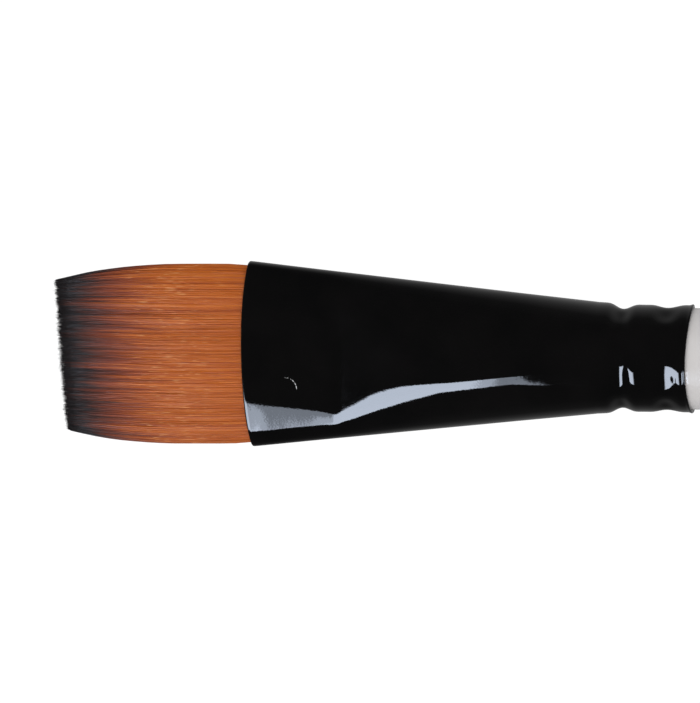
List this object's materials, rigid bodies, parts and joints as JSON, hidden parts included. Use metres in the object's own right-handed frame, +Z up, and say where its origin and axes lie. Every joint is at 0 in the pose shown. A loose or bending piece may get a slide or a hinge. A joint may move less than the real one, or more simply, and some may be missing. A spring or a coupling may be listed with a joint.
{
  "type": "paint brush",
  "caption": "Flat wash paint brush with a springy synthetic tuft, a pressed black ferrule crimped on a pearl-lacquered wooden handle.",
  "frame": {"origin": "under the middle of the brush's length, on the surface that the handle's belly rests on", "axes": "+X along the brush from the tuft to the tail of the handle, +Y across the width of the tuft, +Z up through its thickness"},
  "size_m": [0.208, 0.0198, 0.0124],
  "materials": {
    "bristle": "satin",
    "resin": "gloss",
    "black_metal": "gloss",
    "glue": "satin",
    "hardwood": "matte",
    "pearl_lacquer": "gloss"
  },
  "bodies": {
    "brush": {"tuft_root": "bristle", "root_resin": "resin", "ferrule": "black_metal", "tenon_glue": "glue", "handle_core": "hardwood", "handle_lacquer": "pearl_lacquer"},
    "tuft": {"tuft_head": "bristle"}
  },
  "joints": [
    {"name": "tuft_flex", "type": "hinge", "parent": "brush", "child": "tuft", "pos_m": [-0.0881, 0, 0.0062], "axis": [0, 1, 0], "range_deg": [-45, 45], "stiffness_Nm_per_rad": 0.015}
  ]
}
